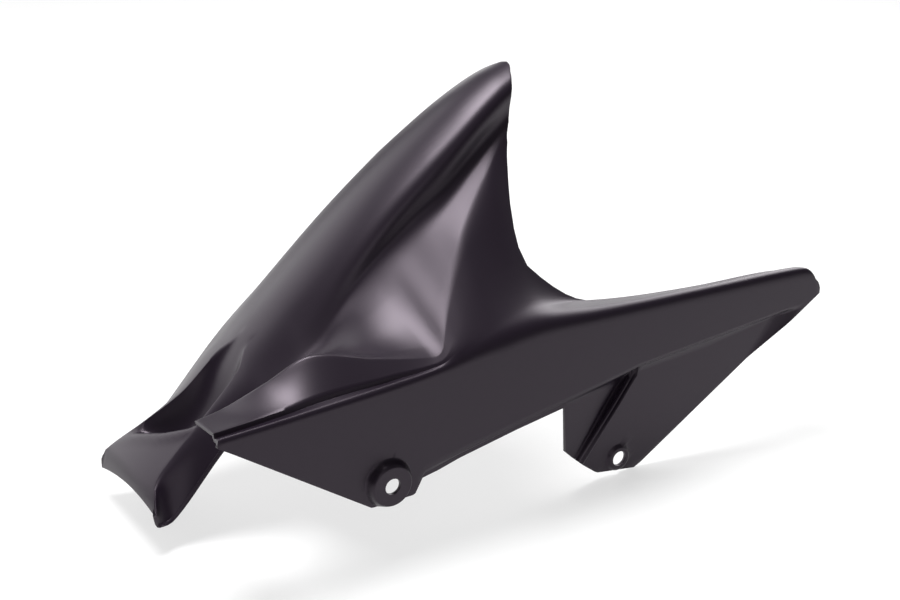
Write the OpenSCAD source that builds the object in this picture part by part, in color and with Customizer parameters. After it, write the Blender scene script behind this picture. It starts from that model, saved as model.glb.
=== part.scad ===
// Rear fender (hugger) of a motorcycle with its chain guard, formed from one plastic sheet.
// X runs to the rear of the bike, Y to its right and Z up, in millimetres.
// The origin is the centre of the front bolt hole, in the outer face of the guard panel.

/* [Overall] */
// Width from the guard panel to the edge of the far side wall
overall_width = 222; // [210:1:234]
// Height from the lowest edge of the bracket plate to the tip
overall_height = 310.5; // [295:0.5:325]
// Thickness of the formed sheet
sheet_t = 3; // [2:0.25:4]

/* [Bolt holes] */
// Diameter of the front bolt hole
front_hole_d = 12.5; // [8:0.5:16]
// Diameter of the rear bolt hole
rear_hole_d = 12.5; // [8:0.5:14]
// Distance from the front hole back to the rear hole
hole_pitch = 213; // [205:1:220]
// Drop from the front hole to the rear hole
hole_drop = 41; // [36:1:43]

/* [Bosses] */
// Diameter of the flat face of the front boss
front_boss_d = 33; // [28:1:36]
// Height of the front boss above the panel
front_boss_h = 7; // [4:0.5:9]
// Diameter of the flat face of the rear boss
rear_boss_d = 21; // [18:1:23]
// Height of the rear boss above the lower plate
rear_boss_h = 2.5; // [2:0.25:4]

/* [Front end and fin] */
// Distance of the tip behind the front hole
tip_x = 189; // [180:1:200]
// Distance of the flange edge ahead of the front hole
flange_x = 150; // [145:1:155]
// Half width of the flange
flange_half_w = 55; // [52:1:60]
// Depth of the shock recess, measured straight down
recess_depth = 26; // [16:1:30]

/* [Guard] */
// Distance of the rear end behind the front hole
guard_end_x = 413; // [400:1:425]
// Distance of the front corner ahead of the front hole
guard_front_x = 133; // [128:1:137]
// Depth of the step between the panel and the lower plate
step_depth = 5; // [3:0.5:7]
// Height of the rib above the lower plate
rib_h = 5; // [3:0.5:6]

/* [Hidden] */

// The guides below are drawn at these sizes and stretched to the overall width and height
wheel_y = 140;
far_half_w = 82;
tip_z = 259.5;
bracket_z = -51;
size_y = overall_width / (wheel_y + far_half_w);
size_z = overall_height / (tip_z - bracket_z);

// They are laid out from a point on the panel, and the front hole lies here from it
front_hole = [-3.5, -front_boss_h, 4 * size_z];
rear_hole = [front_hole[0] + hole_pitch, step_depth - rear_boss_h, front_hole[2] - hole_drop];

// Stations along the bike that the guides and the grid share
slit_end_x = -46;
apex_x = 45;
notch_x = 156;
inner_edge_x = 191;
rib_top_x = 224;

// Grid columns at those stations
slit_col = 10;
apex_col = 24;
notch_col = 34;
trail_col = 40;
rib_col = 46;
last_col = 62;

// A smooth curve through knots of [x, value], where a value is a number or [y, z]
function segment_of(knots, x, i = 0) =
    (i >= len(knots) - 2 || x < knots[i + 1][0]) ? i : segment_of(knots, x, i + 1);
function knot_slope(knots, i) =
    let (a = max(i - 1, 0), b = min(i + 1, len(knots) - 1))
    (knots[b][1] - knots[a][1]) / (knots[b][0] - knots[a][0]);
function curve(knots, x) =
    let (
        i = segment_of(knots, x),
        h = knots[i + 1][0] - knots[i][0],
        s = (x - knots[i][0]) / h
    )
    (2 * s ^ 3 - 3 * s ^ 2 + 1) * knots[i][1] + (s ^ 3 - 2 * s ^ 2 + s) * h * knot_slope(knots, i)
        + (3 * s ^ 2 - 2 * s ^ 3) * knots[i + 1][1] + (s ^ 3 - s ^ 2) * h * knot_slope(knots, i + 1);

// Straight runs between the same kind of knots
function run(knots, x) =
    let (
        i = segment_of(knots, x),
        s = min(max((x - knots[i][0]) / (knots[i + 1][0] - knots[i][0]), 0), 1)
    )
    (1 - s) * knots[i][1] + s * knots[i + 1][1];
function mix(a, b, s) = (1 - s) * a + s * b;

// A corner rounded between two set-back points, as n + 1 points of a parabola
function rounded(a, corner, b, n) =
    [for (k = [0 : n]) let (s = k / n) (1 - s) ^ 2 * a + 2 * s * (1 - s) * corner + s ^ 2 * b];

// Top line of the fender in the wheel plane, from the flange to the tip
function crown_z(x) = curve([
    [-flange_x, -26], [1 - flange_x, -17], [4 - flange_x, -9], [-118, 13], [-92, 34], [-52, 73],
    [-8, 114], [62, 177], [131, 229], [165, 249.5], [tip_x, tip_z]], x);

// Half width of the recess rim, which runs on as a soft line under the tip
function rim_half(x) = curve([
    [-flange_x, flange_half_w - 1], [8 - flange_x, flange_half_w - 6], [-120, 36], [-92, 23], [-63, 19],
    [-50, 9], [-20, 16], [60, 24], [131, 23], [tip_x, 12]], x);

// How fast the crown drops away from the wheel plane
function arch(x) = run([[-100, 0.002], [-60, 0.005], [-20, 0.008], [100, 0.008], [tip_x, 0.012]], x);

// Depth of the shock recess below the crown. A low bead runs across its front, further back on the
// near side, where q is -1, than on the far side
bead_skew = 15;
function recess(x, q) =
    x > -40 ? 0 : 1 / size_z * curve([
        [-flange_x - bead_skew, 0], [-126, 0], [-119, -2], [-113, 0.15 * recess_depth],
        [-104, 0.8 * recess_depth], [-92, recess_depth], [-76, 0.75 * recess_depth],
        [-60, 0.25 * recess_depth], [-50, 0], [-40, 0]],
        x + bead_skew * q * min(max((-60 - x) / 40, 0), 1));

// Side step from the rim to the shoulder corner
function shoulder_d(x) = curve([
    [-flange_x, 4], [-92, 6], [-52, 16], [0, 24], [60, 26], [131, 26], [tip_x, 18]], x);
function near_shoulder_d(x) = curve([
    [-flange_x, 4], [-92, 6], [-52, 13], [0, 14], [60, 11], [131, 9], [tip_x, 12]], x);

// Guides of the near side, each [y, z] at x: foot of the fin's wall, crest of the guard,
// inner top edge of the guard, and its outer shoulder
function foot(x) = curve([
    [-flange_x, [wheel_y - flange_half_w, -28]], [-134, [91, -29]], [-93, [92, 14]], [-73, [88, 35]],
    [-57, [84, 50]], [-31, [80, 67]], [-10, [81, 80]], [5, [86, 94]], [20, [92, 108]], [45, [97, 129]],
    [67, [100, 145]], [85, [101, 158]], [104, [102, 170]], [134, [107, 192]], [155, [111, 208]],
    [tip_x, [118, 234]]], x);
function crest(x) = curve([
    [-guard_front_x, [46, 68]], [-107, [48, 71]], [-78, [44, 85]], [slit_end_x, [40, 100]],
    [0, [23, 93]], [38, [12, 89]],
    [48, [11, 91]], [57, [22, 102]], [70, [38, 117]],
    [85, [53, 134]], [100, [65, 150]], [120, [76, 168]], [140, [86, 186]], [163, [102, 209]],
    [tip_x, [112, 228]]], x);
function inner_edge(x) = curve([
    [-guard_front_x, [6, 77]], [-73, [6, 78]], [0, [7, 81.5]], [44, [4, 85]], [60, [6, 92]],
    [80, [12, 100]], [100, [18, 106]], [131, [24, 107]], [158, [28, 101]], [inner_edge_x, [29, 94]],
    [235, [29, 88]], [300, [28, 83]], [guard_end_x - 30, [28, 78]], [guard_end_x, [27, 70]]], x);
function outer_edge(x) = curve([
    [-guard_front_x, [0, 73]], [-73, [0, 74]], [48, [0, 82]], [80, [0, 89]], [131, [0, 98]],
    [inner_edge_x, [0, 98]],
    [300, [0, 96]], [guard_end_x - 30, [0, 94]], [guard_end_x, [0, 92]]], x);

// Far side: lower edge of the side wall
function far_edge(x) =
    let (half = curve([[-flange_x, flange_half_w], [-134, flange_half_w - 6], [-93, flange_half_w - 4],
        [-31, 0.85 * far_half_w], [60, far_half_w], [tip_x, 0.7 * far_half_w]], x))
    [wheel_y + half, curve([[-flange_x, -28], [-134, -29], [-93, 14], [-31, 62], [20, 96], [80, 138],
        [131, 176], [tip_x, 215]], x)];

// Share of a side that a rounded corner takes up: foot, crest, inner edge and shoulder
function foot_share(x) = run([
    [slit_end_x - 2, 0.02], [slit_end_x + 13, 0.3], [70, 0.35]], x);
function crest_share(x) = run([[-60, 0.1], [30, 0.12], [60, 0.14], [100, 0.16], [131, 0.3]], x);
function inner_share(x) = run([[0, 0.1], [40, 0.2], [80, 0.45], [140, 0.3], [inner_edge_x, 0.01]], x);
function shoulder_share(x) = run([[-40, 0.4], [45, 0.48], [inner_edge_x, 0.45]], x);

// Rows across the sheet, from the far edge to the end of the guard's shoulder
far_wall_n = 4;
far_round_n = 4;
crown_n = 8;
near_round_n = 5;
foot_n = 4;
crest_n = 3;
shoulder_n = 4;
rim_row = far_wall_n + far_round_n;
near_rim_row = rim_row + crown_n;
foot_row = near_rim_row + near_round_n + 1 + foot_n / 2;
crest_row = foot_row + foot_n / 2 + 2;
inner_row = crest_row + crest_n + 3;
panel_row = inner_row + 1 + shoulder_n;

// Below the facet of the wing the sheet drops by this much on to a narrow ledge
joggle = [1, 3.5];

function section(x) =
    let (
        z = crown_z(x),
        r = rim_half(x),
        k = arch(x),
        d = shoulder_d(x),
        rim_z = z - k * r ^ 2,
        drop = 2 * k * r * d,
        far_rim = [wheel_y + r, rim_z],
        near_rim = [wheel_y - r, rim_z],
        far_corner = far_rim + [d, -drop],
        near_d = near_shoulder_d(x),
        near_corner = near_rim - [near_d, 2 * k * r * near_d],
        far_foot = far_edge(x),
        far_mid = mix(far_corner, far_foot, 0.5),
        v = foot(x),
        c = crest(x),
        t = inner_edge(x),
        s = outer_edge(x),
        wall_mid = mix(near_corner, v, 0.45),
        web_a = mix(v, c, foot_share(x)),
        web_b = mix(c, v, crest_share(x)),
        facet_a = mix(c, t, crest_share(x)),
        facet_b = mix(t, c, inner_share(x)),
        top_b = mix(t, s, inner_share(x)),
        top_c = mix(s, t, shoulder_share(x)),
        panel_top = s - [0, max(norm(s - t), 9) * shoulder_share(x)],
        inner = mix((facet_b + 2 * t + top_b) / 4, facet_b - joggle, run([[0, 1], [60, 0]], x))
    )
    concat(
        [for (i = [0 : far_wall_n - 1]) mix(far_foot, far_mid, i / far_wall_n)],
        rounded(far_mid, far_corner, far_rim, far_round_n),
        [for (i = [1 : crown_n - 1])
            let (q = 1 - 2 * i / crown_n)
            [wheel_y + q * r, z - k * (q * r) ^ 2 - recess(x, q) * (1 - q ^ 4)]],
        rounded(near_rim, near_corner, wall_mid, near_round_n),
        rounded(mix(v, near_corner, min(foot_share(x), 0.5)), v, web_a, foot_n),
        rounded(web_b, c, facet_a, crest_n),
        [mix(facet_a, facet_b, 0.33), mix(facet_a, facet_b, 0.7), facet_b, inner],
        rounded(top_c, s, panel_top, shoulder_n)
    );

// How far a boss flares below its face, and the rounding of the face's edge
boss_flare = 0.35;
boss_edge = 2;

// Crease between the panel and the lower plate, the depth of its step, and the lower outline
function crease_z(x) = run([
    [-guard_front_x, 68.3], [-121, 61.5], [-25, -4], [18, -7], [28, 6], [notch_x, 28.5], [205, 37.5],
    [rib_top_x, 41.5], [guard_end_x - 20, 57], [guard_end_x, 65]], x);
function step(x) = run([[20, 0], [60, 0.8 * step_depth], [notch_x, step_depth],
    [guard_end_x - 45, step_depth], [guard_end_x - 20, 0], [guard_end_x, 0]], x);
panel_corner = [[-17.5, -12.5], [18.5, -12]];
function outline_z(x) = run([
    [-guard_front_x, 66.9], [-121, 59], panel_corner[0], panel_corner[1], [25.5, -0.5],
    [40, 1.2], [111, 14.2],
    [notch_x, 21]], x);

// Corners of the bracket plate below the crease, as [column, [x, z]]
bracket_outline = [
    [notch_col + 1, [notch_x + 2, -18]], [rib_col - 3, [166, -26]], [rib_col + 2, [176, -35]],
    [rib_col + 4, [189, -45]], [rib_col + 7, [228, bracket_z]], [last_col, [guard_end_x, 63]]];

// Height of the rib over the plate by column, sunk a little on its front side
function rib(j) = run([
    [notch_col + 1, 0], [rib_col - 3, -0.8 * rib_h], [rib_col - 2, -0.6 * rib_h], [rib_col - 1, 0.8 * rib_h],
    [rib_col, rib_h], [rib_col + 1, 0.8 * rib_h], [rib_col + 3, 0]], j);

// Rows of the lower part: panel, step and plate
panel_n = 4;
step_n = 2;
plate_n = 4;
last_row = panel_row + panel_n + step_n + plate_n;
step_run = 3.5;

// Where a row starts along the bike, and where it ends at the trailing edge of the fin
function row_start(i) = run([
    [0, -134], [far_wall_n, 7 - flange_x], [rim_row - 2, 1 - flange_x], [rim_row, -flange_x],
    [near_rim_row, -flange_x], [near_rim_row + 2, 1 - flange_x], [near_rim_row + near_round_n, 7 - flange_x],
    [foot_row, -134], [foot_row + 0.01, 3 - guard_front_x], [crest_row + 2, 3 - guard_front_x],
    [panel_row, -guard_front_x], [last_row, -guard_front_x]], i);
function row_end(i) = run([
    [0, 138], [far_wall_n, 158], [rim_row, tip_x - 7], [rim_row + crown_n / 4, tip_x - 1.5],
    [rim_row + crown_n / 2, tip_x], [near_rim_row - crown_n / 4, tip_x - 1.5], [near_rim_row, 183.5],
    [near_rim_row + 2, 179], [near_rim_row + 4, 176.5], [near_rim_row + near_round_n, 176],
    [foot_row, 175], [foot_row + 2, 173.5], [foot_row + 4, 166.5], [foot_row + 5, 159], [foot_row + 6, 150],
    [crest_row + 3, 145.5], [crest_row + 4, 143.5], [inner_row - 1, 145.5], [inner_row, inner_edge_x]], i);

// The guard's rear end is rounded, so the rows end one after the other
function guard_end(i) = guard_end_x - run([
    [inner_row, 18], [inner_row + 2, 22], [panel_row - 2, 15], [panel_row, 6], [panel_row + 1, 2.5],
    [panel_row + 2, 1], [panel_row + 3, 0], [last_row, 0]], i);

// Where column j of row i lies along the bike
function guard_x(i, j) = run([
    [0, row_start(i)], [slit_col, slit_end_x], [apex_col, apex_x], [notch_col, notch_x],
    [notch_col + 1, notch_x + 2], [trail_col, inner_edge_x], [rib_col - 2, rib_top_x - 7],
    [rib_col + 2, rib_top_x + 7], [last_col, guard_end(i)]], j);
function grid_x(i, j) =
    let (x = guard_x(i, j))
    i >= inner_row || x <= apex_x ? x
        : apex_x + (row_end(i) - apex_x) * (x - apex_x) / (inner_edge_x - apex_x);

function lower_point(i, j) =
    let (
        x = guard_x(i, j),
        top = section(x)[panel_row],
        z = crease_z(x),
        d = step(x) / size_y,
        k = i - panel_row,
        end = j <= notch_col ? [x, outline_z(x)] : run(bracket_outline, j),
        s = (k - panel_n - step_n) / plate_n
    )
    k <= panel_n ? [x, mix(top[0], 0, k / panel_n), mix(top[1], z, k / panel_n)]
        : k <= panel_n + step_n ?
            let (q = (k - panel_n) / step_n) [x, d * q, z - q * min(step_run, (z - end[1]) / 2)]
        : let (foot_z = z - min(step_run, (z - end[1]) / 2))
            [mix(x, end[0], s), d - rib(j) / size_y * min(1, 1.4 - s), mix(foot_z, end[1], s)];

function drawn_point(i, j) =
    i > panel_row ? lower_point(i, j)
        : let (x = grid_x(i, j), p = section(x)[i]) [x, p[0], p[1]];
function outer_point(i, j) = let (p = drawn_point(i, j)) [p[0], size_y * p[1], size_z * p[2]];

outer = [for (i = [0 : last_row]) [for (j = [0 : last_col]) outer_point(i, j)]];

// A cell of the grid is part of the sheet unless the slit or the trailing edge leaves it out
function is_sheet(i, j) =
    i >= 0 && j >= 0 && i < last_row && j < last_col
        && !(i < inner_row && j >= trail_col) && !(i >= foot_row && i < crest_row + 1 && j < slit_col);

// Direction out of the sheet at a grid point, from the neighbours that belong to the sheet
function has_up(i, j) = is_sheet(i - 1, j) || is_sheet(i - 1, j - 1);
function has_down(i, j) = is_sheet(i, j) || is_sheet(i, j - 1);
function has_left(i, j) = is_sheet(i, j - 1) || is_sheet(i - 1, j - 1);
function has_right(i, j) = is_sheet(i, j) || is_sheet(i - 1, j);
function normal_at(i, j) =
    let (
        along = outer[i][has_right(i, j) ? j + 1 : j] - outer[i][has_left(i, j) ? j - 1 : j],
        across = outer[has_down(i, j) ? i + 1 : i][j] - outer[has_up(i, j) ? i - 1 : i][j],
        n = cross(across, along)
    )
    norm(n) == 0 ? [0, 0, 0] : n / norm(n);
inner = [for (i = [0 : last_row]) [for (j = [0 : last_col]) outer[i][j] - sheet_t * normal_at(i, j)]];

module sheet() {
    width = last_col + 1;
    skin = (last_row + 1) * width;
    function id(i, j) = i * width + j;
    cells = [for (i = [0 : last_row - 1]) for (j = [0 : last_col - 1]) if (is_sheet(i, j)) [i, j]];
    top = [for (c = cells) let (a = id(c[0], c[1]))
        each [[a, a + width, a + 1], [a + 1, a + width, a + width + 1]]];
    edges = [for (c = cells) let (i = c[0], j = c[1], a = id(i, j)) each concat(
        is_sheet(i - 1, j) ? [] : [[a, a + 1]],
        is_sheet(i + 1, j) ? [] : [[a + width + 1, a + width]],
        is_sheet(i, j - 1) ? [] : [[a + width, a]],
        is_sheet(i, j + 1) ? [] : [[a + 1, a + width + 1]])];
    polyhedron(
        points = concat([for (r = outer) each r], [for (r = inner) each r]),
        faces = concat(
            [for (f = top) [f[0], f[2], f[1]]],
            [for (f = top) [f[0] + skin, f[1] + skin, f[2] + skin]],
            [for (e = edges) each [[e[0], e[0] + skin, e[1]], [e[1], e[0] + skin, e[1] + skin]]]));
}

// Hollow round boss that stands out of the sheet towards -Y, with its flat face at height h
module boss_shell(face_d, h) {
    face_r = face_d / 2;
    base_r = face_r + h * boss_flare + boss_edge;
    round_pts = rounded([face_r - boss_edge, h], [face_r, h], [face_r + boss_edge, h - boss_edge], 4);
    rotate([90, 0, 0])
        rotate_extrude($fn = 48)
            polygon(concat([[0, h]], round_pts, [
                [base_r, 0], [base_r + 0.5, -sheet_t / 2], [base_r - sheet_t, -sheet_t / 2],
                [face_r - boss_edge, h - sheet_t], [0, h - sheet_t]]));
}

module boss_opening(face_d, h) {
    rotate([90, 0, 0])
        cylinder(
            r = face_d / 2 + h * boss_flare + boss_edge - sheet_t / 2, h = 4 * sheet_t,
            center = true, $fn = 48);
}

// Hole along the sheet's thickness, drilled through a boss face
module bolt_hole(d, h) {
    rotate([90, 0, 0])
        cylinder(d = d, h = 2 * (h + 2 * sheet_t), center = true, $fn = 48);
}

// The sheet's lower edge, from a to b, runs straight under a boss and cuts its skirt
trim_reach = 40;
trim_gap = 0.2;
module boss_trim(a, b) {
    translate([a[0], 0, size_z * a[1] - trim_gap])
        rotate([0, atan2(size_z * (a[1] - b[1]), b[0] - a[0]), 0])
            translate([-trim_reach / 2, -trim_reach / 2, -trim_reach])
                cube([2 * trim_reach, trim_reach, trim_reach]);
}

module rear_fender() {
    rear_base = [rear_hole[0], step_depth, rear_hole[2]];
    front_base = [front_hole[0], 0, front_hole[2]];
    color([0.16, 0.145, 0.165])
        translate(-front_hole)
            difference() {
                // All of the sheet is one closed mesh, and only the bolt holes are exact cylinders
                resize([0, 0, 0])
                    difference() {
                        union() {
                            difference() {
                                sheet();
                                translate(front_base) boss_opening(front_boss_d, front_boss_h);
                                translate(rear_base) boss_opening(rear_boss_d, rear_boss_h);
                            }
                            translate(front_base) boss_shell(front_boss_d, front_boss_h);
                            translate(rear_base) boss_shell(rear_boss_d, rear_boss_h);
                        }
                        boss_trim(panel_corner[0], panel_corner[1]);
                        boss_trim(bracket_outline[3][1], bracket_outline[4][1]);
                    }
                translate(front_base) bolt_hole(front_hole_d, front_boss_h);
                translate(rear_base) bolt_hole(rear_hole_d, rear_boss_h);
            }
}

rear_fender();
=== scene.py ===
"""Rear fender (hugger) of a motorcycle with its chain guard, formed from one sheet of black ABS.

The sheet is laid out as one grid of rows and columns, which is moved on to the guide lines of the
fender, cut out along the slit and the trailing edge, and given its thickness.
"""
import math

import bmesh
import bpy
import numpy as np
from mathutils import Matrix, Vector


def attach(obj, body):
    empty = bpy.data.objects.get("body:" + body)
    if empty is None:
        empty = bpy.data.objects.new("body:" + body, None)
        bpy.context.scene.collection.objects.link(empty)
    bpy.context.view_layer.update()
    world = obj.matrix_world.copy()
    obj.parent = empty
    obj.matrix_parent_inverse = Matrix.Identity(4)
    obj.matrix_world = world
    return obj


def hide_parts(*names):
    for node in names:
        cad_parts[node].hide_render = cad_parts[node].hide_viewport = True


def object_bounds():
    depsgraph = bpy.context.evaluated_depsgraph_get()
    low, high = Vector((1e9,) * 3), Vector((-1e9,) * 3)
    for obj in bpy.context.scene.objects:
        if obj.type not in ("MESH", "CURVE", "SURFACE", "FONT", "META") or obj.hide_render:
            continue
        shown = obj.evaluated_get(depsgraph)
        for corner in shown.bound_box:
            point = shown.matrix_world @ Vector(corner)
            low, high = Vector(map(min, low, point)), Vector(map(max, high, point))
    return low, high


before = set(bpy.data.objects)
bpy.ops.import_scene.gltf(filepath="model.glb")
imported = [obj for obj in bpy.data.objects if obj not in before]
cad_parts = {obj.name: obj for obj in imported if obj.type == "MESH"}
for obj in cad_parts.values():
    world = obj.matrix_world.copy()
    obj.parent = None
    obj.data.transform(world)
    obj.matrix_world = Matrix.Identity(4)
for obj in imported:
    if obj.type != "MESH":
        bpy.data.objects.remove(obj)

cad_lo, cad_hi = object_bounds()

MM = 0.001

# Main sizes in millimetres, as in the CAD source
SHEET_T = 3.0
WHEEL_Y = 140.0
FRONT_HOLE_D = 12.5
REAR_HOLE_D = 12.5
HOLE_PITCH = 213.0
HOLE_DROP = 41.0
FRONT_BOSS_D = 33.0
FRONT_BOSS_H = 7.0
REAR_BOSS_D = 21.0
REAR_BOSS_H = 2.5
TIP_X = 189.0
TIP_Z = 259.5
FAR_HALF_W = 82.0
FLANGE_X = 150.0
FLANGE_HALF_W = 55.0
RECESS_DEPTH = 26.0
GUARD_END_X = 413.0
GUARD_FRONT_X = 133.0
STEP_DEPTH = 5.0
RIB_H = 5.0

# The guides are laid out from a point on the panel, and the front hole lies here from it
FRONT_HOLE = np.array([-3.5, -FRONT_BOSS_H, 4.0])

# Details of the sheet, in millimetres
EDGE_TRIM = 0.5             # bevel along the trimmed edges
BEAD_SKEW = 15.0            # how far the bead in front of the recess runs back on its near side
BEAD_FADE_START_X = -100.0  # it is skewed in full up to here
BEAD_FADE_END_X = -60.0     # and not at all from here on
RECESS_END_X = -40.0
JOGGLE = np.array([1.0, 3.5])   # below the wing's facet the sheet drops this far on to a narrow ledge
JOGGLE_END_X = 60.0         # the ledge fades out from 0 to here
WALL_SHARE = 0.45           # the crown's rounding ends at this share of the near wall
SHOULDER_MIN_W = 9.0        # the guard's shoulder is sized for a top at least this wide
RIB_END_SHARE = 0.4         # the rib sinks to this share of its height at the lower edge
STEP_RUN = 3.5              # the step into the lower plate falls over this height
BOSS_FLARE = 0.35           # a boss widens by this share of its height
BOSS_INSET = 1.5            # its face starts to fall this far inside its edge
BOSS_OUTSET = 0.5           # and meets the plate this far outside it
BOSS_MARGIN = 4.0           # the mesh is pressed this far beyond the flare
PLATE_DEPTH = 30.0          # anything this far off the panel is no part of the plate

# Stations along the bike, and the grid columns at them
SLIT_END_X, APEX_X, NOTCH_X, INNER_EDGE_X, RIB_TOP_X = -46.0, 45.0, 156.0, 191.0, 224.0
NOTCH_W = 2.0
SLIT_COL, APEX_COL, NOTCH_COL, TRAIL_COL, RIB_COL, LAST_COL = 10, 24, 34, 40, 46, 62
PLATE_COL = NOTCH_COL + 1
RIB_START_COL, RIB_END_COL = RIB_COL - 2, RIB_COL + 2

# Rows across the sheet, from the far edge over the crown to the lower edge of the guard
FAR_ROUND_ROW, RIM_ROW, NEAR_RIM_ROW, WALL_ROW = 4, 8, 16, 21
FOOT_START_ROW, FOOT_ROW, FOOT_END_ROW = 22, 24, 26
CREST_START_ROW, WING_EDGE_ROW, CREST_END_ROW = 27, 29, 30
FACET_END_ROW, INNER_ROW, TOP_START_ROW, SHOULDER_ROW, PANEL_ROW = 33, 34, 34.5, 35, 39
CREASE_ROW, STEP_ROW, LAST_ROW = 43, 45, 49

# Light, floor and camera. Places are in metres
PAPER_GLOW = 0.6        # added to the floor where it is seen
SKY_LIGHT = 0.15        # the sky's brightness as a light
SKY_SEEN = 0.85         # and what is added for the camera
FLOOR_RADIUS = 12.0
FLOOR_GAP = 0.001       # the floor lies this far under the part
FLOOR_MIDDLE = (0.1, 0.1)
LIT_POINT = Vector((0.10, 0.08, 0.08))
CAMERA_PLACE = Vector((-487.4, -856.5, 542.0)) * MM
CAMERA_AIM = Vector((102.2, 87.0, 92.5)) * MM
CAMERA_SENSOR = 36.0
CAMERA_LENS = 62.4


# Lines and blends. A line is a list of knots (x, value), where a value is a number or a (y, z) pair

def column(x):
    return np.atleast_1d(np.asarray(x, float))


def curve(knots, x):
    """A smooth curve through the knots."""
    kx = np.array([k[0] for k in knots], float)
    kv = np.array([k[1] for k in knots], float)
    x = column(x)
    n = len(kx)
    i = np.clip(np.searchsorted(kx, x, side="right") - 1, 0, n - 2)
    before, after = np.maximum(np.arange(n) - 1, 0), np.minimum(np.arange(n) + 1, n - 1)
    span = kx[after] - kx[before]
    slope = (kv[after] - kv[before]) / (span if kv.ndim == 1 else span[:, None])
    h = kx[i + 1] - kx[i]
    s = (x - kx[i]) / h
    if kv.ndim == 2:
        s, h = s[:, None], h[:, None]
    return ((2 * s ** 3 - 3 * s ** 2 + 1) * kv[i] + (s ** 3 - 2 * s ** 2 + s) * h * slope[i]
            + (3 * s ** 2 - 2 * s ** 3) * kv[i + 1] + (s ** 3 - s ** 2) * h * slope[i + 1])


def run(knots, x):
    """Straight runs between knots whose values are numbers."""
    return np.interp(column(x), [k[0] for k in knots], [k[1] for k in knots])


def pair(y, z):
    """Points (y, z), one for each x, from two columns or a column and a number."""
    return np.stack([column(y) + 0 * column(z), column(z) + 0 * column(y)], -1)


def mix(a, b, s):
    """The point at share s of the way from a to b."""
    s = column(s)[:, None] if np.ndim(s) else s
    return (1 - s) * a + s * b


def rounded(a, corner, b, s):
    """The point at share s of the rounding from a to b that the corner pulls outwards."""
    s = column(s)[:, None] if np.ndim(s) else s
    return (1 - s) ** 2 * a + 2 * s * (1 - s) * corner + s ** 2 * b


# Guide lines of the fender, each at x along the bike

def crown_z(x):
    return curve([
        (-FLANGE_X, -26), (1 - FLANGE_X, -17), (4 - FLANGE_X, -9), (-118, 13), (-92, 34), (-52, 73),
        (-8, 114), (62, 177), (131, 229), (165, 249.5), (TIP_X, TIP_Z)], x)


def rim_half(x):
    """Half the crown's width on the far side."""
    return curve([
        (-FLANGE_X, FLANGE_HALF_W - 1), (8 - FLANGE_X, FLANGE_HALF_W - 6), (-120, 36), (-92, 23),
        (-63, 19), (-50, 9), (-20, 16), (60, 24), (131, 23), (TIP_X, 12)], x)


def near_half(x):
    """Half the crown's width on the near side, which narrows sooner behind the flange."""
    return curve([
        (-FLANGE_X, FLANGE_HALF_W - 1), (2 - FLANGE_X, FLANGE_HALF_W - 4), (9 - FLANGE_X, 36),
        (-128, 29), (-92, 22), (-63, 19), (-50, 9), (-20, 16), (60, 24), (131, 23), (TIP_X, 12)], x)


def arch(x):
    """How fast the crown falls off to its sides, by the square of the distance."""
    return run([(-100, 0.002), (-60, 0.005), (-20, 0.008), (100, 0.008), (TIP_X, 0.012)], x)


def recess(x, q):
    """Depth of the shock recess, with a low bead across its front that runs back on the near side."""
    x = column(x)
    fade = np.clip((BEAD_FADE_END_X - x) / (BEAD_FADE_END_X - BEAD_FADE_START_X), 0, 1)
    depth = curve([
        (-FLANGE_X - BEAD_SKEW, 0), (-126, 0), (-119, -2), (-113, 0.15 * RECESS_DEPTH),
        (-104, 0.8 * RECESS_DEPTH), (-92, RECESS_DEPTH), (-76, 0.75 * RECESS_DEPTH),
        (-60, 0.25 * RECESS_DEPTH), (-50, 0), (RECESS_END_X, 0)],
        np.minimum(x + BEAD_SKEW * q * fade, RECESS_END_X))
    return np.where(x > RECESS_END_X, 0, depth)


def shoulder_d(x):
    """Reach of the crown's rounding on the far side."""
    return curve([(-FLANGE_X, 4), (-92, 6), (-52, 16), (0, 24), (60, 26), (131, 26), (TIP_X, 18)], x)


def near_shoulder_d(x):
    """Reach of the crown's rounding on the near side."""
    return curve([(-FLANGE_X, 4), (-92, 6), (-52, 13), (0, 15), (60, 13), (131, 12), (TIP_X, 13)], x)


def foot(x):
    """Foot of the near wall: the lower edge of the flange, then the bottom of the valley."""
    return curve([
        (-FLANGE_X, (WHEEL_Y - FLANGE_HALF_W, -28)), (-134, (91, -29)), (-93, (92, 14)),
        (-73, (88, 35)), (-57, (84, 50)), (-31, (80, 67)), (-10, (81, 80)), (5, (86, 94)),
        (20, (92, 108)), (APEX_X, (97, 129)), (67, (100, 145)), (85, (101, 158)), (104, (102, 170)),
        (134, (109, 193)), (155, (113, 209)), (TIP_X, (118, 234))], x)


def crest(x):
    """Top edge of the wing, which runs on as the fold up the side of the fin."""
    return curve([
        (-GUARD_FRONT_X, (46, 68)), (-108, (46, 73)), (-78, (41, 87)), (SLIT_END_X, (36, 102)),
        (0, (22, 94)), (38, (12, 89)), (48, (11, 91)), (57, (22, 102)), (70, (38, 117)),
        (85, (53, 134)), (100, (65, 150)), (120, (77, 167)), (140, (88, 184)), (163, (104, 205)),
        (TIP_X, (113, 226))], x)


def inner_edge(x):
    """Inner edge of the guard's top."""
    return curve([
        (-GUARD_FRONT_X, (6, 74)), (-73, (6, 77)), (0, (7, 81.5)), (44, (4, 85)), (60, (6, 92)),
        (80, (12, 100)), (100, (18, 106)), (131, (24, 107)), (158, (28, 101)), (INNER_EDGE_X, (29, 94)),
        (235, (29, 88)), (300, (28, 83)), (GUARD_END_X - 30, (28, 78)), (GUARD_END_X, (27, 70))], x)


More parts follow.
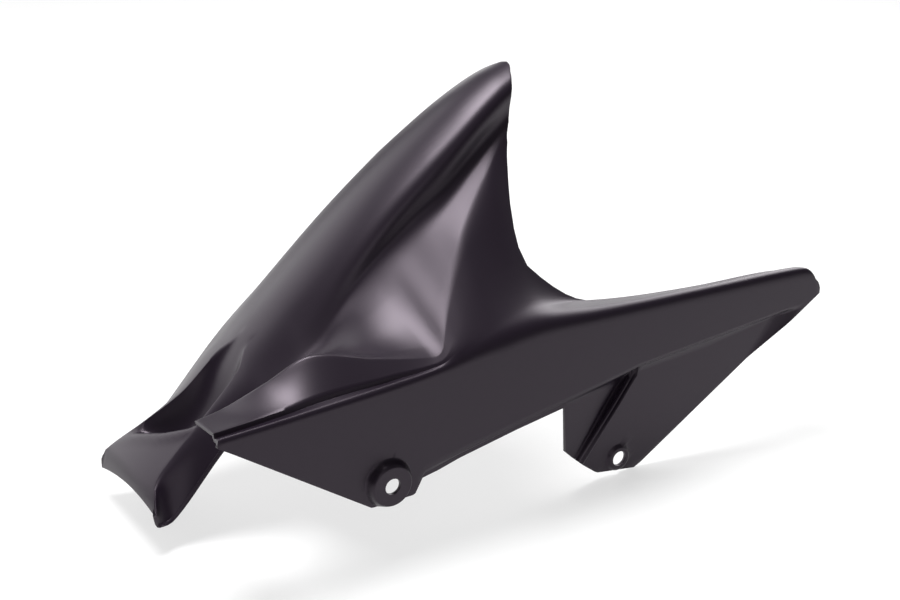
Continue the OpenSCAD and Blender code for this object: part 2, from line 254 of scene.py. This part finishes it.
def outer_edge(x):
    """Outer edge of the guard's top."""
    return curve([
        (-GUARD_FRONT_X, (0, 71.5)), (-73, (0, 74)), (48, (0, 82)), (80, (0, 89)), (131, (0, 98)),
        (INNER_EDGE_X, (0, 98)), (300, (0, 96)), (GUARD_END_X - 30, (0, 94)), (GUARD_END_X, (0, 92))], x)


def far_edge(x):
    """Lower edge of the fin's far side."""
    half = curve([
        (-FLANGE_X, FLANGE_HALF_W), (-134, FLANGE_HALF_W - 6), (-93, FLANGE_HALF_W - 4),
        (-31, 0.85 * FAR_HALF_W), (60, FAR_HALF_W), (TIP_X, 0.7 * FAR_HALF_W)], x)
    z = curve([(-FLANGE_X, -28), (-134, -29), (-93, 14), (-31, 62), (20, 96), (80, 138), (131, 176),
               (TIP_X, 215)], x)
    return pair(WHEEL_Y + half, z)


# Share of a side that each rounded corner takes up

def foot_share(x):
    return run([(SLIT_END_X - 2, 0.02), (SLIT_END_X + 13, 0.3), (70, 0.35)], x)


def crest_share(x):
    return run([(-60, 0.1), (30, 0.12), (60, 0.14), (100, 0.16), (131, 0.3)], x)


def inner_share(x):
    return run([(0, 0.1), (40, 0.2), (80, 0.45), (140, 0.3), (INNER_EDGE_X, 0.01)], x)


def shoulder_share(x):
    return run([(-40, 0.4), (45, 0.48), (INNER_EDGE_X, 0.45)], x)


def section(x, row):
    """Points (y, z) of one row, down to the end of the guard's shoulder, at each x."""
    top_z, far_r, near_r, drop = crown_z(x), rim_half(x), near_half(x), arch(x)
    far_d, near_d = shoulder_d(x), near_shoulder_d(x)
    far_rim = pair(WHEEL_Y + far_r, top_z - drop * far_r ** 2)
    near_rim = pair(WHEEL_Y - near_r, top_z - drop * near_r ** 2)
    far_corner = far_rim + pair(far_d, -2 * drop * far_r * far_d)
    near_corner = near_rim - pair(near_d, 2 * drop * near_r * near_d)
    far_foot = far_edge(x)
    far_mid = mix(far_corner, far_foot, 0.5)
    valley, fold, inner, outer = foot(x), crest(x), inner_edge(x), outer_edge(x)
    wall_mid = mix(near_corner, valley, WALL_SHARE)
    foot_a = mix(valley, near_corner, np.minimum(foot_share(x), 0.5))
    foot_b = mix(valley, fold, foot_share(x))
    crest_a, crest_b = mix(fold, valley, crest_share(x)), mix(fold, inner, crest_share(x))
    facet_b, top_b = mix(inner, fold, inner_share(x)), mix(inner, outer, inner_share(x))
    top_c = mix(outer, inner, shoulder_share(x))
    top_w = np.linalg.norm(outer - inner, axis=1)
    panel_top = outer - pair(0, np.maximum(top_w, SHOULDER_MIN_W) * shoulder_share(x))
    if row <= FAR_ROUND_ROW:
        return mix(far_foot, far_mid, row / FAR_ROUND_ROW)
    if row <= RIM_ROW:
        return rounded(far_mid, far_corner, far_rim, (row - FAR_ROUND_ROW) / (RIM_ROW - FAR_ROUND_ROW))
    if row <= NEAR_RIM_ROW:
        q = 1 - 2 * (row - RIM_ROW) / (NEAR_RIM_ROW - RIM_ROW)
        side = q * (far_r if q > 0 else near_r)
        return pair(WHEEL_Y + side, top_z - drop * side ** 2 - recess(x, q) * (1 - q ** 4))
    if row <= WALL_ROW:
        return rounded(near_rim, near_corner, wall_mid, (row - NEAR_RIM_ROW) / (WALL_ROW - NEAR_RIM_ROW))
    if row <= FOOT_START_ROW:
        return mix(wall_mid, foot_a, (row - WALL_ROW) / (FOOT_START_ROW - WALL_ROW))
    if row <= FOOT_END_ROW:
        return rounded(foot_a, valley, foot_b, (row - FOOT_START_ROW) / (FOOT_END_ROW - FOOT_START_ROW))
    if row <= CREST_START_ROW:
        return mix(foot_b, crest_a, row - FOOT_END_ROW)
    if row <= CREST_END_ROW:
        return rounded(crest_a, fold, crest_b, (row - CREST_START_ROW) / (CREST_END_ROW - CREST_START_ROW))
    if row <= FACET_END_ROW:
        return mix(crest_b, facet_b, (row - CREST_END_ROW) / (FACET_END_ROW - CREST_END_ROW))
    if row <= SHOULDER_ROW:
        k, plain_k = row - FACET_END_ROW, TOP_START_ROW - FACET_END_ROW
        if row <= TOP_START_ROW:
            plain = rounded(facet_b, inner, top_b, k / plain_k)
        else:
            plain = mix(top_b, top_c, (k - plain_k) / (SHOULDER_ROW - TOP_START_ROW))
        ledge = facet_b - JOGGLE
        joggled = mix(facet_b, ledge, k) if k <= 1 else mix(ledge, top_c, k - 1)
        return mix(plain, joggled, run([(0, 1), (JOGGLE_END_X, 0)], x))
    return rounded(top_c, outer, panel_top, (row - SHOULDER_ROW) / (PANEL_ROW - SHOULDER_ROW))


# The lower part of the guard: panel, step, and the bracket plate with its rib

def crease_z(x):
    return run([
        (-GUARD_FRONT_X, 68.3), (-121, 61.5), (-25, -4), (18, -7), (28, 6), (NOTCH_X, 28.5), (205, 37.5),
        (RIB_TOP_X, 41.5), (GUARD_END_X - 20, 57), (GUARD_END_X, 65)], x)


def step(x):
    return run([(20, 0), (60, 0.8 * STEP_DEPTH), (NOTCH_X, STEP_DEPTH), (GUARD_END_X - 45, STEP_DEPTH),
                (GUARD_END_X - 20, 0), (GUARD_END_X, 0)], x)


def outline_z(x):
    """Lower edge of the panel in front of the notch."""
    return run([(-GUARD_FRONT_X, 66.9), (-121, 59), (-17.5, -12.5), (18.5, -12), (25.5, -0.5), (40, 1.2),
                (111, 14.2), (NOTCH_X, 21)], x)


def bracket_edge(cols):
    """Lower edge (x, z) of the bracket plate, by column."""
    knots = [(PLATE_COL, (NOTCH_X + NOTCH_W, -18)), (RIB_COL - 3, (166, -26)), (RIB_COL + 2, (176, -35)),
             (RIB_COL + 4, (189, -45)), (RIB_COL + 7, (228, -51)), (LAST_COL, (GUARD_END_X, 63))]
    return pair(run([(col, x) for col, (x, z) in knots], cols),
                run([(col, z) for col, (x, z) in knots], cols))


def rib(cols):
    """Height of the rib: a hollow, then two ridges with a groove between them."""
    return RIB_H * run([
        (PLATE_COL, 0), (RIB_COL - 2.6, -0.5), (RIB_COL - 1.9, -0.7), (RIB_COL - 1.3, 0.7),
        (RIB_COL - 1.0, 0.7), (RIB_COL - 0.5, 0.1), (RIB_COL - 0.1, 0.2), (RIB_COL + 0.4, 0.8),
        (RIB_COL + 0.7, 0.8), (RIB_COL + 1.6, 0)], cols)


def lower_points(x, cols, row):
    """Points of one row below the guard's shoulder."""
    top = section(x, PANEL_ROW)
    z, d = crease_z(x), step(x)
    end = np.where((cols <= NOTCH_COL)[:, None], pair(x, outline_z(x)), bracket_edge(cols))
    fall = np.minimum(STEP_RUN, (z - end[:, 1]) / 2)
    if row <= CREASE_ROW:
        q = (row - PANEL_ROW) / (CREASE_ROW - PANEL_ROW)
        return np.stack([x, (1 - q) * top[:, 0], (1 - q) * top[:, 1] + q * z], -1)
    if row <= STEP_ROW:
        q = (row - CREASE_ROW) / (STEP_ROW - CREASE_ROW)
        return np.stack([x, d * q, z - q * fall], -1)
    s = (row - STEP_ROW) / (LAST_ROW - STEP_ROW)
    fade = min(1, 1 + RIB_END_SHARE - s)
    return np.stack([(1 - s) * x + s * end[:, 0], d - rib(cols) * fade,
                     (1 - s) * (z - fall) + s * end[:, 1]], -1)


# Where the rows start and end along the bike, and the grid

def row_start(row):
    return run([
        (0, -134), (FAR_ROUND_ROW, 7 - FLANGE_X), (RIM_ROW - 2, 1.2 - FLANGE_X), (RIM_ROW, 0.2 - FLANGE_X),
        (NEAR_RIM_ROW, 1.2 - FLANGE_X), (WALL_ROW, 2.7 - FLANGE_X), (FOOT_ROW, 4 - FLANGE_X),
        (FOOT_ROW + 0.01, 3 - GUARD_FRONT_X), (CREST_END_ROW, 3 - GUARD_FRONT_X),
        (PANEL_ROW, -GUARD_FRONT_X), (LAST_ROW, -GUARD_FRONT_X)], row)[0]


def row_end(row):
    """End of each row of the fin, which makes its trailing edge."""
    return run([
        (0, 138), (FAR_ROUND_ROW, 158), (RIM_ROW, TIP_X - 7), (RIM_ROW + 2, TIP_X - 1.5),
        (RIM_ROW + 4, TIP_X), (NEAR_RIM_ROW - 2, TIP_X - 1.5), (NEAR_RIM_ROW, 183.5),
        (NEAR_RIM_ROW + 2, 179), (WALL_ROW - 1, 176.5), (WALL_ROW, 176), (FOOT_ROW, 175),
        (FOOT_END_ROW, 173.5), (WING_EDGE_ROW - 1, 166.5), (WING_EDGE_ROW, 159), (CREST_END_ROW, 150),
        (CREST_END_ROW + 1, 145.5), (FACET_END_ROW - 1, 143.5), (FACET_END_ROW, 145.5),
        (INNER_ROW, INNER_EDGE_X)], row)[0]


def guard_end(row):
    """End of each row of the guard, with its rounded corner."""
    return GUARD_END_X - run([
        (INNER_ROW, 18), (INNER_ROW + 2, 22), (PANEL_ROW - 2, 15), (PANEL_ROW, 6), (PANEL_ROW + 1, 2.5),
        (PANEL_ROW + 2, 1), (PANEL_ROW + 3, 0), (LAST_ROW, 0)], row)[0]


def guard_x(row, cols):
    """The x of each column, as a row of the guard has it."""
    return run([
        (0, row_start(row)), (SLIT_COL, SLIT_END_X), (APEX_COL, APEX_X), (NOTCH_COL, NOTCH_X),
        (PLATE_COL, NOTCH_X + NOTCH_W), (TRAIL_COL, INNER_EDGE_X), (RIB_START_COL, RIB_TOP_X - 7),
        (RIB_END_COL, RIB_TOP_X + 7), (LAST_COL, guard_end(row))], cols)


def sheet_row(row, cols):
    """Points of one row of the sheet at the given columns, in millimetres from the front hole."""
    x = guard_x(row, cols)
    if row > PANEL_ROW:
        points = lower_points(x, cols, row)
    else:
        if row < INNER_ROW:
            pulled = APEX_X + (row_end(row) - APEX_X) * (x - APEX_X) / (INNER_EDGE_X - APEX_X)
            x = np.where(x <= APEX_X, x, pulled)
        points = np.concatenate([x[:, None], section(x, row)], 1)
    return points - FRONT_HOLE


def spread(stretches):
    """Row or column numbers from 0 on. Each stretch is its last number and its count of cells."""
    out = [0.0]
    for stop, n in stretches:
        start = out[-1]
        out += [start + (stop - start) * (k + 1) / n for k in range(n)]
    return out


ROWS = spread([
    (FAR_ROUND_ROW, 6), (RIM_ROW, 10), (NEAR_RIM_ROW, 20), (WALL_ROW, 16), (FOOT_START_ROW, 4),
    (FOOT_END_ROW, 12), (CREST_START_ROW, 3), (WING_EDGE_ROW, 8), (CREST_END_ROW, 4), (FACET_END_ROW, 9),
    (INNER_ROW, 5), (TOP_START_ROW, 3), (SHOULDER_ROW, 2), (PANEL_ROW, 12), (CREASE_ROW, 14),
    (STEP_ROW, 6), (LAST_ROW, 14)])
COLS = spread([
    (SLIT_COL, 30), (APEX_COL, 42), (NOTCH_COL, 30), (PLATE_COL, 1), (TRAIL_COL, 16),
    (RIB_START_COL, 10), (RIB_END_COL, 24), (LAST_COL, 40)])


def left_out(row, col):
    """True where the slit or the trailing edge leaves a cell of the grid out."""
    return (row < INNER_ROW and col > TRAIL_COL) or (FOOT_ROW < row < WING_EDGE_ROW and col < SLIT_COL)


# The mesh

def boss_height(rho, face_d, h):
    """Height of a round boss over its plate at distance rho from its middle."""
    inside = face_d / 2 - BOSS_INSET
    outside = face_d / 2 + BOSS_FLARE * h + BOSS_OUTSET
    s = min(max((rho - inside) / (outside - inside), 0), 1)
    return h * (1 - s * s * (3 - 2 * s))


def raise_boss(bm, x, z, face_d, h, hole_d):
    """Presses a round boss out of the plate and cuts its bolt hole."""
    reach = face_d / 2 + BOSS_FLARE * h + BOSS_MARGIN
    mid = Vector((x, 0, z)) * MM

    def rho(co):
        return math.hypot(co.x - mid.x, co.z - mid.z) / MM

    def near(co, limit):
        return abs(co.y / MM) < PLATE_DEPTH and rho(co) < limit

    for cuts in (2, 1):
        edges = [e for e in bm.edges if all(near(v.co, reach + 2) for v in e.verts)]
        bmesh.ops.subdivide_edges(bm, edges=edges, cuts=cuts, use_grid_fill=True)
    for v in bm.verts:
        if near(v.co, reach):
            v.co.y -= boss_height(rho(v.co), face_d, h) * MM
    inside = [f for f in bm.faces if near(f.calc_center_median(), hole_d / 2)]
    bmesh.ops.delete(bm, geom=inside, context="FACES")
    for v in bm.verts:
        if v.is_boundary and near(v.co, hole_d / 2 + 2):
            r = rho(v.co)
            v.co.x = mid.x + (v.co.x - mid.x) * hole_d / 2 / r
            v.co.z = mid.z + (v.co.z - mid.z) * hole_d / 2 / r


def form_sheet():
    """The whole sheet as its outer face, with the bosses raised."""
    bm = bmesh.new()
    bmesh.ops.create_grid(bm, x_segments=len(COLS) - 1, y_segments=len(ROWS) - 1, size=0.5)
    bm.verts.ensure_lookup_table()
    cols = np.array(COLS)
    laid = [sheet_row(row, cols) * MM for row in ROWS]
    row_of, col_of = {}, {}
    for v in bm.verts:
        i = round((v.co.y + 0.5) * (len(ROWS) - 1))
        j = round((v.co.x + 0.5) * (len(COLS) - 1))
        row_of[v], col_of[v] = ROWS[i], COLS[j]
        v.co = Vector(laid[i][j])
    gone = [f for f in bm.faces
            if left_out(sum(row_of[v] for v in f.verts) / 4, sum(col_of[v] for v in f.verts) / 4)]
    bmesh.ops.delete(bm, geom=gone, context="FACES")
    bmesh.ops.reverse_faces(bm, faces=bm.faces)
    raise_boss(bm, 0, 0, FRONT_BOSS_D, FRONT_BOSS_H, FRONT_HOLE_D)
    raise_boss(bm, HOLE_PITCH, -HOLE_DROP, REAR_BOSS_D, REAR_BOSS_H, REAR_HOLE_D)
    loose = [v for v in bm.verts if not v.link_faces]
    bmesh.ops.delete(bm, geom=loose, context="VERTS")
    return bm


def placed(name, data):
    """A new object at the origin, in the scene."""
    piece = bpy.data.objects.new(name, data)
    bpy.context.scene.collection.objects.link(piece)
    return piece


def finished(bm, name, material):
    mesh = bpy.data.meshes.new(name)
    bm.to_mesh(mesh)
    bm.free()
    mesh.materials.append(material)
    for face in mesh.polygons:
        face.use_smooth = True
    return placed(name, mesh)


# Finishes

def linear(hex_colour):
    """An sRGB hex colour as linear red, green, blue and alpha."""
    parts = [int(hex_colour[k:k + 2], 16) / 255 for k in (1, 3, 5)]
    return [p / 12.92 if p <= 0.04045 else ((p + 0.055) / 1.055) ** 2.4 for p in parts] + [1.0]


def add_node(tree, kind, settings=None, links=None):
    """A new node. The settings are values of its sockets or attributes, the links go to its sockets."""
    node = tree.nodes.new(kind)
    for name, value in (settings or {}).items():
        if name in node.inputs:
            node.inputs[name].default_value = value
        else:
            setattr(node, name, value)
    for name, source in (links or {}).items():
        tree.links.new(source, node.inputs[name])
    return node


def add_math(tree, operation, a, b):
    """The output of a maths node on a socket and on a second socket or a number."""
    node = add_node(tree, "ShaderNodeMath", {"operation": operation}, {0: a})
    if isinstance(b, float):
        node.inputs[1].default_value = b
    else:
        tree.links.new(b, node.inputs[1])
    return node.outputs[0]


def new_material(name):
    material = bpy.data.materials.new(name)
    material.use_nodes = True
    material.node_tree.nodes.clear()
    return material, material.node_tree


def moulded_abs():
    """Satin black ABS, vacuum formed over a blasted mould: a fine matt grain under a soft sheen."""
    material, tree = new_material("moulded_black_abs")
    place = add_node(tree, "ShaderNodeTexCoord")
    grain = add_node(tree, "ShaderNodeTexNoise", {"Scale": 1600.0, "Detail": 2.0, "Roughness": 0.5},
                     {"Vector": place.outputs["Object"]})
    bump = add_node(tree, "ShaderNodeBump", {"Strength": 0.10, "Distance": 0.00015},
                    {"Height": grain.outputs["Fac"]})
    shader = add_node(tree, "ShaderNodeBsdfPrincipled", {
        "Base Color": linear("#18101C"), "Roughness": 0.38, "IOR": 1.46,
        "Specular Tint": linear("#FFEFFF")}, {"Normal": bump.outputs["Normal"]})
    add_node(tree, "ShaderNodeOutputMaterial", links={"Surface": shader.outputs["BSDF"]})
    return material


def floor_paper():
    """Matt white paper, brighter where it is seen or mirrored than where it lights the part."""
    material, tree = new_material("white_paper")
    rays = add_node(tree, "ShaderNodeLightPath").outputs
    seen = add_math(tree, "MAXIMUM", rays["Is Camera Ray"], rays["Is Glossy Ray"])
    through = add_math(tree, "MAXIMUM", seen, rays["Is Transmission Ray"])
    glow = add_math(tree, "MULTIPLY", through, PAPER_GLOW)
    paper = add_node(tree, "ShaderNodeBsdfDiffuse", {"Color": linear("#A8A8A8")})
    light = add_node(tree, "ShaderNodeEmission", {"Color": linear("#FFFFFF")}, {"Strength": glow})
    both = add_node(tree, "ShaderNodeAddShader", links={0: paper.outputs[0], 1: light.outputs[0]})
    add_node(tree, "ShaderNodeOutputMaterial", links={"Surface": both.outputs[0]})
    return material


# The fender
fender = finished(form_sheet(), "fender_sheet", moulded_abs())
wall = fender.modifiers.new("sheet_thickness", "SOLIDIFY")
wall.thickness = SHEET_T * MM
wall.offset = -1
edge = fender.modifiers.new("trimmed_edges", "BEVEL")
edge.width = EDGE_TRIM * MM
edge.segments = 2
edge.limit_method = "ANGLE"
edge.angle_limit = math.radians(60)
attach(fender, "root")
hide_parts("rear_fender")

# The floor
bm = bmesh.new()
bmesh.ops.create_circle(bm, cap_ends=True, segments=96, radius=FLOOR_RADIUS)
bmesh.ops.translate(bm, verts=bm.verts, vec=(*FLOOR_MIDDLE, cad_lo.z - FLOOR_GAP))
finished(bm, "floor", floor_paper())

# The sky lights the part a little, and is white only to the camera
world = bpy.data.worlds.new("studio")
bpy.context.scene.world = world
world.use_nodes = True
sky = world.node_tree
sky.nodes.clear()
sky_rays = add_node(sky, "ShaderNodeLightPath").outputs
sky_level = add_math(sky, "ADD", add_math(sky, "MULTIPLY", sky_rays["Is Camera Ray"], SKY_SEEN), SKY_LIGHT)
background = add_node(sky, "ShaderNodeBackground", {"Color": linear("#FFFFFF")}, {"Strength": sky_level})
add_node(sky, "ShaderNodeOutputWorld", links={"Surface": background.outputs[0]})


def turned_to(direction):
    """The rotation that turns a lamp or a camera to look along a direction."""
    return direction.to_track_quat("-Z", "Y").to_euler()


def softbox(name, heading, height, distance, size, brightness):
    """A box light seen from the part at these angles in degrees, 1 being as bright as white paper."""
    lamp = bpy.data.lights.new(name, "AREA")
    lamp.shape = "RECTANGLE"
    lamp.size, lamp.size_y = size
    lamp.energy = math.pi * size[0] * size[1] * brightness
    heading, height = math.radians(heading), math.radians(height)
    away = Vector((math.sin(heading) * math.cos(height), math.cos(heading) * math.cos(height),
                   math.sin(height)))
    holder = placed(name, lamp)
    holder.location = LIT_POINT + distance * away
    holder.rotation_euler = turned_to(-away)


softbox("overhead_box", heading=-22, height=76, distance=1.6, size=(0.75, 0.60), brightness=22.0)
softbox("rear_left_box", heading=-24, height=20, distance=2.2, size=(1.9, 1.8), brightness=1.8)
softbox("rear_right_box", heading=66, height=32, distance=1.8, size=(1.1, 1.0), brightness=5.0)
softbox("backdrop_box", heading=42, height=12, distance=2.6, size=(2.4, 0.9), brightness=2.0)
softbox("front_fill_box", heading=-155, height=28, distance=2.4, size=(1.6, 0.9), brightness=1.2)

# Camera at the photograph's angle
camera_data = bpy.data.cameras.new("camera")
camera_data.sensor_width = CAMERA_SENSOR
camera_data.lens = CAMERA_LENS
camera_data.clip_start, camera_data.clip_end = 0.05, 100.0
camera = placed("camera", camera_data)
camera.location = CAMERA_PLACE
camera.rotation_euler = turned_to(CAMERA_AIM - CAMERA_PLACE)
bpy.context.scene.camera = camera

bpy.context.scene.view_settings.view_transform = "Standard"
